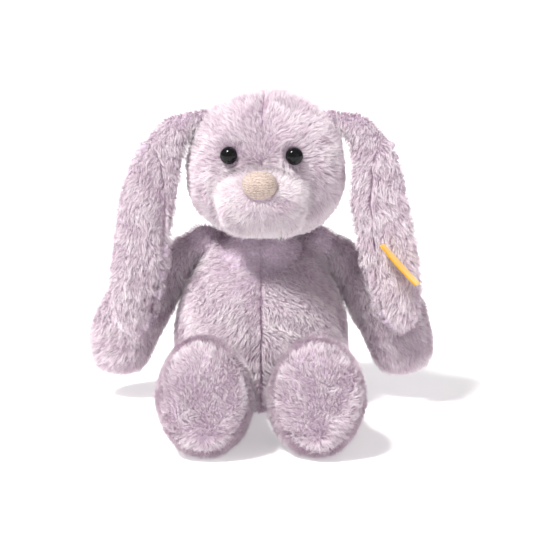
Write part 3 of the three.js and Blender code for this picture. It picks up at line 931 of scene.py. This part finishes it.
@dataclass
class StuffedForm:
    """A closed stuffed form: its fibre core, and the hide over it in panels."""

    name: str
    body: str
    core_nodes: list[str]
    panels: list[Panel]
    seams: list[Seam] = field(default_factory=list)
    zones: list[Zone] = field(default_factory=list)
    fillers: list[tuple[Vector, float]] = field(default_factory=list)
    extra_nodes: list[str] = field(default_factory=list)
    swell: float = -4.2 * MM
    cap: float = 1.2 * MM
    voxel: float = 3.6 * MM
    rounds: int = 6
    fill: float = 0.75
    seed: int = 1
    backing: float = 1.2 * MM
    measured: tuple = ("-x", "+x")
    under: float = 2.1 * MM

    def skin(self) -> bmesh.types.BMesh:
        """The hide's face as one closed skin, with its seams drawn in."""
        bm = merged_nodes([panel.node for panel in self.panels] + self.extra_nodes + self.core_nodes)
        for centre, radius in self.fillers:
            bmesh.ops.create_icosphere(bm, subdivisions=3, radius=radius, matrix=Matrix.Translation(centre))
        bm = with_modifier(bm, "REMESH", {"mode": "VOXEL", "voxel_size": self.voxel})
        keep_biggest_shell(bm)
        smooth(bm, self.rounds)
        move_along_normals(bm, np.full(len(bm.verts), self.swell))
        bm = puffed(bm, self.cap)
        bm = with_modifier(bm, "SUBSURF", {"levels": 1, "render_levels": 1})
        move_along_normals(bm, np.full(len(bm.verts), self.shortfall(bm) - self.under))
        places = vertex_places(bm)
        groove = np.zeros(len(places))
        for seam in self.seams:
            drawn = seam.depth * seam.shown(places)
            groove = np.maximum(groove, drawn * np.exp(-((seam.distance(places) / seam.width) ** 2)))
        groove += 0.35 * MM * ripple(places, 24 * MM, np.random.default_rng(self.seed))
        move_along_normals(bm, -groove)
        for vert in bm.verts:
            vert.co.z = max(vert.co.z, SKIN_CLEARANCE)
        return bm

    def shortfall(self, bm: bmesh.types.BMesh) -> float:
        """How far inside its panels' box the skin lies, on average over the sides that are measured."""
        boxes = [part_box(panel.node) for panel in self.panels]
        low = np.min([list(b[0]) for b in boxes], axis=0)
        high = np.max([list(b[1]) for b in boxes], axis=0)
        places = vertex_places(bm)
        gaps = {"-x": places.min(0)[0] - low[0], "-y": places.min(0)[1] - low[1], "-z": places.min(0)[2] - low[2],
                "+x": high[0] - places.max(0)[0], "+y": high[1] - places.max(0)[1], "+z": high[2] - places.max(0)[2]}
        log.info("%s gaps: %s", self.name, {k: round(v / MM, 1) for k, v in gaps.items()})
        return float(np.mean([gaps[side] for side in self.measured]))

    def build(self, finishes: Finishes) -> None:
        """Makes the hide, the pile and the core.

        Args:
            finishes: The materials.
        """
        skin = self.skin()
        for number, panel in enumerate(self.panels):
            hide = self.hide(skin, panel, finishes, self.seed * 100 + number)
            log.info("%s: %s", panel.node, hide.name)
        self.core(skin, finishes)
        skin.free()

    def hide(self, skin: bmesh.types.BMesh, panel: Panel, finishes: Finishes, seed: int) -> bpy.types.Object:
        """Cuts one panel out of the skin, grows its pile and backs it with cloth.

        Args:
            skin: The whole skin.
            panel: The panel.
            finishes: The materials.
            seed: Makes the pile the same each run.

        Returns:
            The panel's object, with its pile as a child.
        """
        bm = skin.copy()
        for cut in panel.cuts:
            cut.apply(bm)
        if panel.patch is not None:
            panel.patch.trim(bm, panel.inside_patch)
        bm.normal_update()
        pile_material = finishes.plush_light if panel.light else finishes.plush
        pile = panel.pile.grown(f"{panel.node}_pile", bm, panel, self.seams, self.zones, pile_material, seed)
        cloth = finishes.backing_light if panel.light else finishes.backing
        bm = with_modifier(bm, "SOLIDIFY", {"thickness": self.backing, "offset": -1.0})
        hide = finish_object(f"{panel.node}_hide", bm, cloth)
        pile.parent = hide
        declare(hide, self.body, [panel.node])
        return hide

    def core(self, skin: bmesh.types.BMesh, finishes: Finishes) -> None:
        """Makes the fibre core just inside the hide.

        Args:
            skin: The whole skin.
            finishes: The materials.
        """
        if not self.core_nodes:
            return
        bm = skin.copy()
        lumps = ripple(vertex_places(bm), 11 * MM, np.random.default_rng(self.seed + 50))
        move_along_normals(bm, -(self.backing + 0.9 * MM + 0.25 * MM * lumps))
        core = finish_object(f"{self.name}_fibre", bm, finishes.fibre)
        declare(core, self.body, self.core_nodes)


# ---------------------------------------------------------------- the rabbit's stuffed parts

X, Y, Z = Vector((1, 0, 0)), Vector((0, 1, 0)), Vector((0, 0, 1))
NECK = joint_place("head_nod")
SHOULDERS = {side: joint_place(f"arm_{side.word}_lift") for side in Side}
HIPS = {side: joint_place(f"leg_{side.word}_swing") for side in Side}
EAR_ROOTS = {side: joint_place(f"ear_{side.word}_lift") for side in Side}


@dataclass
class Torso:
    """Pear-shaped torso of four panels on a flat seat."""

    seat_seam: float = 6.5 * MM
    neck_filler: float = 25.0 * MM
    shoulder_filler: float = 15.0 * MM
    crotch_filler: float = 10.5 * MM
    crotch: tuple = ((-26, 11), (-30, 22), (-33, 34))
    neck_thin: float = 27.0 * MM
    shoulder_thin: float = 14.0 * MM
    hip_thin: float = 27.0 * MM

    def build(self, finishes: Finishes) -> None:
        """Builds the torso."""
        middle = Seam(Vector(), X, depth=1.3 * MM, width=4.6 * MM, part=0.5)
        sides = Seam(Vector(), Y, depth=1.2 * MM, part=0.6)
        seat = Seam(Vector((0, 0, self.seat_seam)), Z, depth=1.0 * MM, part=0.5)
        panels = [Panel("seat_panel", [Cut(seat, -1)], Flow((0, 1, 0)), reach=0.6)]
        for name, facing in (("front", -1), ("back", 1)):
            for side in Side:
                cuts = [Cut(seat, 1), Cut(sides, facing), Cut(middle, side.value)]
                panels.append(Panel(f"torso_{name}_{side.word}", cuts, Flow((side.value * 0.5, 0, -1))))
        zones = [Zone(NECK, self.neck_thin, share=0.35)]
        zones += [Zone(SHOULDERS[side], self.shoulder_thin, share=0.3) for side in Side]
        zones += [Zone(HIPS[side] + Vector((0, 2 * MM, -2 * MM)), self.hip_thin, share=0.3) for side in Side]
        fillers = [(NECK, self.neck_filler)]
        fillers += [(Vector((0, y * MM, z * MM)), self.crotch_filler) for y, z in self.crotch]
        for side in Side:
            inward = Vector((-side.value * 6 * MM, 0, -4 * MM))
            fillers.append((SHOULDERS[side] + inward, self.shoulder_filler))
        StuffedForm(
            "torso", "torso", ["torso_stuffing"], panels, [middle, sides, seat], zones, fillers, ["pellet_pouch"],
            measured=("-x", "+x", "+y"), seed=1,
        ).build(finishes)


@dataclass
class Tail:
    """Short round tail."""

    def build(self, finishes: Finishes) -> None:
        """Builds the tail."""
        root = box_centre("tail_stuffing")
        panel = Panel("tail_cover", [], Flow((0, 0.3, -0.2), root - 6 * MM * Y, 1.2))
        zones = [Zone(root - 12 * MM * Y, 11 * MM, share=0.2)]
        StuffedForm(
            "tail", "torso", ["tail_stuffing"], [panel], [], zones, voxel=2.4 * MM, rounds=3, fill=0.6,
            measured=("-x", "+x", "+y"), seed=2,
        ).build(finishes)


HEAD_ASIDE = (EAR_ROOTS[Side.LEFT].x + EAR_ROOTS[Side.RIGHT].x) / 2
HEAD_TURN = math.radians(-4.0)
EAR_ROLLS = {Side.LEFT: math.radians(34.0), Side.RIGHT: math.radians(24.0)}


@dataclass
class Head:
    """Round head with a soft muzzle, an eye on each side and a knitted nose."""

    muzzle_reach: Vector = Vector((HEAD_ASIDE, -36 * MM, 139 * MM))
    muzzle_radii: tuple = (29 * MM, 21.5 * MM)
    chin: Vector = Vector((HEAD_ASIDE, -38 * MM, 131.5 * MM))
    chin_filler: float = 16.5 * MM
    chin_drop: float = 12.0 * MM
    bridge: Vector = Vector((HEAD_ASIDE, -52 * MM, 162 * MM))
    seam_top: Vector = Vector((HEAD_ASIDE, -10 * MM, 200 * MM))

    def turned(self, way: Vector) -> Vector:
        """A way or place turned with the head about the upright axis."""
        return Matrix.Rotation(HEAD_TURN, 3, "Z") @ way

    def build(self, finishes: Finishes) -> None:
        """Builds the head's hide and core."""
        axis = self.turned(Vector((HEAD_ASIDE, -4 * MM, 0)))
        seen = (self.turned(self.seam_top), 27 * MM)
        middle = Seam(axis, self.turned(X), depth=1.1 * MM, width=3.4 * MM, part=0.75, near=seen)
        crown = Seam(axis, self.turned(-Y), depth=1.2 * MM, part=0.5)
        muzzle = self.turned(self.muzzle_reach)
        patch = Oval(muzzle, self.muzzle_radii, HEAD_TURN)
        chin = Seam(muzzle - self.chin_drop * Z, self.turned(Vector((0, -0.25, 1))), depth=0.0, part=0.0)
        # The muzzle's edge: a groove, and painted shade on the pile along it, for the creases round the muzzle.
        edge = RingSeam(muzzle, self.turned(-Y), depth=2.6 * MM, width=5.0 * MM, part=0.28, oval=patch)
        face_flow = Flow((0, 0.25, -0.15), self.turned(self.bridge), 1.2)
        nose = box_centre("nose_pad")
        panels = []
        for side in Side:
            panels.append(
                Panel(f"face_{side.word}", [Cut(crown, 1), Cut(middle, side.value)], face_flow, patch=patch,
                      inside_patch=False)
            )
            panels.append(
                Panel(f"head_back_{side.word}", [Cut(crown, -1), Cut(middle, side.value)], Flow((0, 0, -1)))
            )
            panels.append(
                Panel(f"muzzle_{side.word}", [Cut(crown, 1), Cut(middle, side.value), Cut(chin, 1)],
                      Flow((side.value * 0.2, 0.2, 0), nose, 1.2), SHORT_PILE, light=True, patch=patch, parting=0.35)
            )
        panels.append(
            Panel("chin_panel", [Cut(crown, 1), Cut(chin, -1)], Flow((0, 0.6, -0.8)), SHORT_PILE, light=True,
                  patch=patch, parting=0.3)
        )
        zones = [Zone(NECK, 33 * MM, share=0.25), Zone(nose + self.turned(1.5 * MM * Y), 9.4 * MM, lean=5 * MM)]
        zones += [Zone(Eye(side).seat(), 5.4 * MM, lean=6 * MM) for side in Side]
        zones += [Zone(EAR_ROOTS[side], 9 * MM, share=0.3) for side in Side]
        fillers = [(EAR_ROOTS[side] + Vector((-side.value * 8 * MM, 1 * MM, -8 * MM)), 16 * MM) for side in Side]
        fillers += [(self.turned(self.chin + aside * 12 * MM * X), self.chin_filler) for aside in (-1, 0, 1)]
        washers = [f"eye_washer_{side.word}" for side in Side]
        StuffedForm(
            "head", "head", ["head_stuffing"], panels, [middle, crown, edge], zones, fillers, washers,
            voxel=3.2 * MM, rounds=5, fill=0.85, measured=("-x", "+x", "+y", "+z"), seed=3,
        ).build(finishes)


@dataclass
class Ear:
    """Long flat ear of two panels, folded over along its front seam."""

    side: Side
    roll: float
    seam_drop: Vector = Vector((33 * MM, -14 * MM, -65 * MM))
    hang: Vector = Vector((9, 0, -88))
    thin: float = 3.4 * MM

    def build(self, finishes: Finishes) -> None:
        """Builds the ear."""
        sign, word, root = self.side.value, self.side.word, EAR_ROOTS[self.side]
        point = root + Vector((sign * self.seam_drop.x, self.seam_drop.y, self.seam_drop.z))
        down = Vector((sign * self.hang.x, 0, self.hang.z)).normalized()
        normal = Matrix.Rotation(-sign * self.roll, 3, down) @ -Y
        edge = Seam(point, normal, depth=2.0 * MM, width=5.0 * MM, part=0.5)
        flow = Flow((sign * 0.12, 0, -1))
        panels = [
            Panel(f"ear_{word}_outer", [Cut(edge, 1)], flow, EAR_PILE),
            Panel(f"ear_{word}_inner", [Cut(edge, -1)], flow, EAR_PILE),
        ]
        StuffedForm(
            f"ear_{word}", f"ear_{word}", [], panels, [edge], [], [(root, 9 * MM)], swell=-self.thin,
            voxel=2.6 * MM, rounds=5, cap=0.8 * MM, fill=0.2, measured=("+x" if sign > 0 else "-x", "-y"),
            seed=4 + (sign > 0),
        ).build(finishes)


@dataclass
class Arm:
    """Arm that widens into a paw, of a front and a back panel."""

    side: Side
    reach: Vector = Vector((53, 8, -85))

    def build(self, finishes: Finishes) -> None:
        """Builds the arm."""
        sign, word, root = self.side.value, self.side.word, SHOULDERS[self.side]
        along = Vector((sign * self.reach.x, self.reach.y, self.reach.z)).normalized()
        normal = (Y - along * Y.dot(along)).normalized()
        edge = Seam(root, normal, depth=1.2 * MM, part=0.7)
        flow = Flow((sign * 0.35, 0, -1))
        panels = [
            Panel(f"arm_{word}_front", [Cut(edge, -1)], flow),
            Panel(f"arm_{word}_back", [Cut(edge, 1)], flow),
        ]
        node = f"arm_{word}_stuffing"
        StuffedForm(
            f"arm_{word}", f"arm_{word}", [node], panels, [edge], [Zone(root, 12 * MM, share=0.4)],
            [(root, 12 * MM)], voxel=3.0 * MM, rounds=4,
            measured=("+x" if sign > 0 else "-x", "-z"), under=1.3 * MM, seed=7 + (sign > 0),
        ).build(finishes)


@dataclass
class Leg:
    """Leg that lies forward and ends in an upright foot with its own sole panel."""

    side: Side
    length: float = 100 * MM
    sole_depth: float = 9 * MM

    def build(self, finishes: Finishes) -> None:
        """Builds the leg."""
        sign, word, root = self.side.value, self.side.word, HIPS[self.side]
        rim = root + (self.sole_depth - self.length) * Y
        # Part below zero: the pile leans across the sole's rim and is painted lighter there, painted light against the
        # shade that the leg's pile casts on the rim.
        sole = Seam(rim, Vector((0, -1, 0.1)), depth=0.3 * MM, part=-0.5)
        edge = Seam(root, Vector((0, -0.05, 1)), depth=0.8 * MM, part=0.5)
        heel = box_centre(f"foot_{word}_sole") - 22 * MM * Z
        panels = [
            Panel(f"leg_{word}_upper", [Cut(sole, -1), Cut(edge, 1)], Flow((sign * 0.1, -1, -0.1))),
            Panel(f"leg_{word}_under", [Cut(sole, -1), Cut(edge, -1)], Flow((0, -1, -0.1))),
            Panel(f"foot_{word}_sole", [Cut(sole, 1)], Flow((sign * 0.1, 0.1, 0.1), heel, 1.0), SOLE_PILE),
        ]
        node = f"leg_{word}_stuffing"
        StuffedForm(
            f"leg_{word}", f"leg_{word}", [node], panels, [sole, edge], [Zone(root, 24 * MM, share=0.3)],
            voxel=3.4 * MM, measured=("-x", "+x", "-y", "+z"), seed=10 + (sign > 0),
        ).build(finishes)


# ---------------------------------------------------------------- small pieces


@dataclass
class Eye:
    """Domed safety eye on a ribbed shank, and the washer that locks it."""

    side: Side
    radius: float = 5.4 * MM
    dome: float = 4.6 * MM
    shank_radius: float = 1.6 * MM
    shank_length: float = 11.0 * MM
    hole: float = 1.9 * MM
    washer_radius: float = 5.5 * MM
    washer_thickness: float = 1.6 * MM

    def washer_middle(self) -> Vector:
        """Middle of the washer in the frame."""
        return box_centre(f"eye_washer_{self.side.word}")

    def tip(self) -> Vector:
        """The dome's foremost point in the frame."""
        return farthest_point(f"eye_{self.side.word}", self.washer_middle())

    def axis(self) -> Vector:
        """The way the eye looks."""
        return (self.tip() - self.washer_middle()).normalized()

    def seat(self) -> Vector:
        """Middle of the dome's rim."""
        return self.tip() - self.axis() * self.dome

    def build(self, finishes: Finishes) -> None:
        """Builds the eye and its washer."""
        word = self.side.word
        bm = bmesh.new()
        flat = Matrix.Diagonal((self.radius, self.radius, self.dome, 1))
        bmesh.ops.create_uvsphere(bm, u_segments=56, v_segments=32, radius=1.0, matrix=flat)
        pushed = [v for v in bm.verts if v.co.z < -0.2 * self.dome]
        for vert in pushed:
            vert.co.z = -0.2 * self.dome + (vert.co.z + 0.2 * self.dome) * 0.6
        for ridge in range(7):
            place = Matrix.Translation((0, 0, -self.dome * 0.5 - (ridge + 0.5) * self.shank_length / 7))
            bmesh.ops.create_cone(
                bm, cap_ends=True, segments=24, radius1=self.shank_radius, radius2=self.shank_radius * 0.82,
                depth=self.shank_length / 7, matrix=place,
            )
        bmesh.ops.transform(bm, matrix=frame_along(self.axis(), self.seat()), verts=bm.verts)
        eye = finish_object(f"eye_{word}_dome", bm, finishes.black)
        declare(eye, "head", [f"eye_{word}"])
        self.build_washer(finishes)
        log.info("eye_%s: dome, shank and washer", word)

    def build_washer(self, finishes: Finishes) -> None:
        """Builds the washer, a spun ring round its hole, its sharp edges bevelled."""
        word = self.side.word
        half = self.washer_thickness / 2
        outline = [(self.hole, -half), (self.washer_radius, -half), (self.washer_radius, half * 0.4),
                   (self.washer_radius * 0.6, half), (self.hole, half)]
        bm = bmesh.new()
        ring = [bm.verts.new((x, 0, z)) for x, z in outline]
        edges = [bm.edges.new((a, b)) for a, b in zip(ring, ring[1:] + ring[:1])]
        bmesh.ops.spin(
            bm, geom=ring + edges, axis=(0, 0, 1), cent=(0, 0, 0), steps=48, angle=2 * math.pi, use_merge=True
        )
        bmesh.ops.remove_doubles(bm, verts=bm.verts, dist=0.01 * MM)
        bmesh.ops.recalc_face_normals(bm, faces=bm.faces[:])
        sharp = [e for e in bm.edges if len(e.link_faces) == 2 and e.calc_face_angle() > 0.6]
        bmesh.ops.bevel(bm, geom=sharp, offset=0.2 * MM, offset_type="OFFSET", segments=2, profile=0.5,
                        affect="EDGES", material=-1)
        bmesh.ops.transform(bm, matrix=frame_along(self.axis(), self.washer_middle()), verts=bm.verts)
        washer = finish_object(f"eye_{word}_washer", bm, finishes.white)
        declare(washer, "head", [f"eye_washer_{word}"])


@dataclass
class Nose:
    """Oval pad of ribbed knit, sewn down all round."""

    half_width: float = 10.4 * MM
    half_height: float = 8.5 * MM
    half_depth: float = 7.5 * MM
    rib_pitch: float = 1.15 * MM
    rib_height: float = 0.22 * MM

    def build(self, finishes: Finishes) -> None:
        """Builds the nose."""
        low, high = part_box("nose_pad")
        front = Vector(((low.x + high.x) / 2, low.y, (low.z + high.z) / 2))
        bm = bmesh.new()
        bmesh.ops.create_uvsphere(bm, u_segments=128, v_segments=80, radius=1.0)
        bmesh.ops.rotate(bm, verts=bm.verts, cent=(0, 0, 0), matrix=Matrix.Rotation(math.radians(90), 3, "X"))
        for vert in bm.verts:
            p = vert.co
            squareness = 1 + 0.06 * (abs(p.x) * abs(p.z)) * 2
            narrow = 1 - 0.1 * max(0.0, -p.z)
            p.x, p.z = p.x * squareness * narrow, p.z * squareness
            place = Vector((p.x * self.half_width, p.y * self.half_depth, p.z * self.half_height))
            sway = 0.25 * MM * math.sin(place.x / (2.6 * MM))
            rib = math.sin(2 * math.pi * (place.z + sway) / self.rib_pitch)
            stitch = math.sin(2 * math.pi * place.x / (self.rib_pitch * 1.1) + (2.1 if rib > 0 else 0))
            place += p.normalized() * self.rib_height * (0.8 * rib + 0.35 * stitch)
            vert.co = place
        move = Matrix.Translation(front + self.half_depth * Y) @ Matrix.Rotation(HEAD_TURN, 4, "Z")
        bmesh.ops.transform(bm, matrix=move, verts=bm.verts)
        nose = finish_object("nose_pad_knit", bm, finishes.knit)
        declare(nose, "head", ["nose_pad"])
        log.info("nose_pad: ribbed pad")


@dataclass
class Pouch:
    """Flat cotton bag of pellets in the seat."""

    pellet: float = 3.0 * MM
    lump: float = 0.3 * MM
    inset: float = 0.5 * MM
    voxel: float = 1.3 * MM
    rounds: int = 4

    def build(self, finishes: Finishes) -> None:
        """Builds the pouch with the pellets showing through as small lumps."""
        bm = merged_nodes(["pellet_pouch"])
        bm = with_modifier(bm, "REMESH", {"mode": "VOXEL", "voxel_size": self.voxel})
        smooth(bm, self.rounds)
        rng = np.random.default_rng(21)
        move_along_normals(bm, self.lump * ripple(vertex_places(bm), self.pellet, rng) - self.inset)
        pouch = finish_object("pellet_pouch_bag", bm, finishes.cotton)
        declare(pouch, "torso", ["pellet_pouch"])
        log.info("pellet_pouch: cotton bag")


@dataclass
class Ribbon:
    """A blank ribbon folded in two."""

    name: str
    node: str
    body: str
    origin: Vector
    along: Vector
    across: Vector
    length: float
    width: float
    gap: float
    cloth: float
    bow: float
    slot: str

    def build(self, finish: bpy.types.Material) -> None:
        """Builds the ribbon: a strip that goes out, folds over and comes back.

        Args:
            finish: The ribbon's material.
        """
        facing = self.along.cross(self.across).normalized()
        steps, turn = 14, 6
        line = [(s / steps * (self.length - self.gap), self.gap / 2) for s in range(steps + 1)]
        line += [(self.length - self.gap + self.gap / 2 * math.sin(math.pi * k / turn),
                  self.gap / 2 * math.cos(math.pi * k / turn)) for k in range(1, turn)]
        line += [(s / steps * (self.length - self.gap), -self.gap / 2) for s in range(steps, -1, -1)]
        bm = bmesh.new()
        first = []
        for out, off in line:
            bend = self.bow * (out / self.length) ** 2
            first.append(bm.verts.new(self.origin + self.along * out + facing * (off + bend)))
        edges = [bm.edges.new(pair) for pair in zip(first, first[1:])]
        for _ in range(8):
            grown = bmesh.ops.extrude_edge_only(bm, edges=edges)["geom"]
            verts = [g for g in grown if isinstance(g, bmesh.types.BMVert)]
            bmesh.ops.translate(bm, verts=verts, vec=self.across * self.width / 8)
            edges = [g for g in grown if isinstance(g, bmesh.types.BMEdge)]
        bmesh.ops.translate(bm, verts=bm.verts, vec=-self.across * self.width / 2)
        bmesh.ops.recalc_face_normals(bm, faces=bm.faces[:])
        bmesh.ops.solidify(bm, geom=bm.faces[:], thickness=self.cloth)
        bmesh.ops.recalc_face_normals(bm, faces=bm.faces[:])
        ribbon = finish_object(self.name, bm, finish)
        declare(ribbon, self.body, [self.node])
        log.info("%s: folded ribbon", self.node)


def ear_tag() -> Ribbon:
    """The ribbon in the left ear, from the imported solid's place."""
    root = EAR_ROOTS[Side.LEFT]
    start = Vector((77 * MM, root.y - 26 * MM, root.z - 76 * MM))
    along = Vector((0.6, -0.3, -0.74)).normalized()
    across = Vector((0.28, 0.9, -0.12))
    across = (across - along * across.dot(along)).normalized()
    return Ribbon("ear_tag_ribbon", "ear_tag", "ear_left", start - 4 * MM * along, along, across, 33 * MM, 14 * MM,
                  0.9 * MM, 0.25 * MM, 2.0 * MM, "tag_ribbon")


def care_label() -> Ribbon:
    """The ribbon in the back seam above the tail."""
    low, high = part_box("care_label")
    start = Vector(((low.x + high.x) / 2, low.y - 3 * MM, (low.z + high.z) / 2))
    return Ribbon("care_label_ribbon", "care_label", "torso", start, Y.copy(), Z.copy(), high.y - low.y + 3 * MM,
                  high.z - low.z, 0.7 * MM, 0.2 * MM, 1.0 * MM, "label_ribbon")


# ---------------------------------------------------------------- studio


@dataclass
class Studio:
    """Pale floor, soft light and the camera."""

    aim: Vector = Vector((3.4 * MM, -20 * MM, 94 * MM))
    distance: float = 1.1
    elevation: float = math.radians(12)
    lens: float = 119.8
    floor_half: float = 30.0

    def area(self, name: str, place: tuple, size: float, power: float, colour: tuple) -> None:
        """A soft square light that looks at the rabbit.

        Args:
            name: The light's name.
            place: Where it hangs.
            size: Its side.
            power: Its power in watts.
            colour: Its colour.
        """
        data = bpy.data.lights.new(name, "AREA")
        data.shape, data.size, data.energy, data.color = "SQUARE", size, power, colour
        lamp = bpy.data.objects.new(name, data)
        lamp.matrix_world = Matrix.Translation(place) @ (
            (Vector(place) - self.aim).to_track_quat("Z", "Y").to_matrix().to_4x4()
        )
        bpy.context.scene.collection.objects.link(lamp)

    def build(self) -> None:
        """Builds the floor, the lights and the camera."""
        scene = bpy.context.scene
        bm = bmesh.new()
        bmesh.ops.create_grid(bm, x_segments=2, y_segments=2, size=self.floor_half)
        finish_object("studio_floor", bm, FloorFinish().material())
        world = bpy.data.worlds.new("studio")
        world.use_nodes = True
        background = world.node_tree.nodes["Background"]
        background.inputs["Color"].default_value = (1.0, 0.945, 0.985, 1)
        background.inputs["Strength"].default_value = 0.28
        scene.world = world
        sun = bpy.data.lights.new("key", "SUN")
        sun.energy, sun.angle, sun.color = 5.0, math.radians(12), (1.0, 0.99, 0.97)
        key = bpy.data.objects.new("key", sun)
        key.matrix_world = Vector((-0.46, -0.44, 1.0)).to_track_quat("Z", "Y").to_matrix().to_4x4()
        scene.collection.objects.link(key)
        self.area("fill", (0.9, -0.9, 0.5), 1.0, 1.5, (0.97, 0.96, 1.0))
        self.area("back", (0.4, 1.3, 0.8), 1.2, 8.0, (1.0, 0.97, 0.98))
        data = bpy.data.cameras.new("camera")
        data.lens, data.sensor_width, data.clip_end = self.lens, 36.0, 120.0
        camera = bpy.data.objects.new("camera", data)
        back = Vector((0, -math.cos(self.elevation), math.sin(self.elevation)))
        camera.matrix_world = Matrix.Translation(self.aim + back * self.distance) @ (
            back.to_track_quat("Z", "Y").to_matrix().to_4x4()
        )
        scene.collection.objects.link(camera)
        scene.camera = camera
        scene.view_settings.view_transform = "Standard"


def main() -> None:
    """Builds the rabbit, then the studio."""
    logging.basicConfig(level=logging.INFO, format="%(message)s")
    finishes = Finishes()
    Studio().build()
    Torso().build(finishes)
    Tail().build(finishes)
    Head().build(finishes)
    for side, roll in EAR_ROLLS.items():
        Ear(side, roll).build(finishes)
    for side in Side:
        Arm(side).build(finishes)
        Leg(side).build(finishes)
        Eye(side).build(finishes)
    Nose().build(finishes)
    Pouch().build(finishes)
    ear_tag().build(finishes.ribbon)
    care_label().build(finishes.label)


if __name__ == "__main__":
    main()
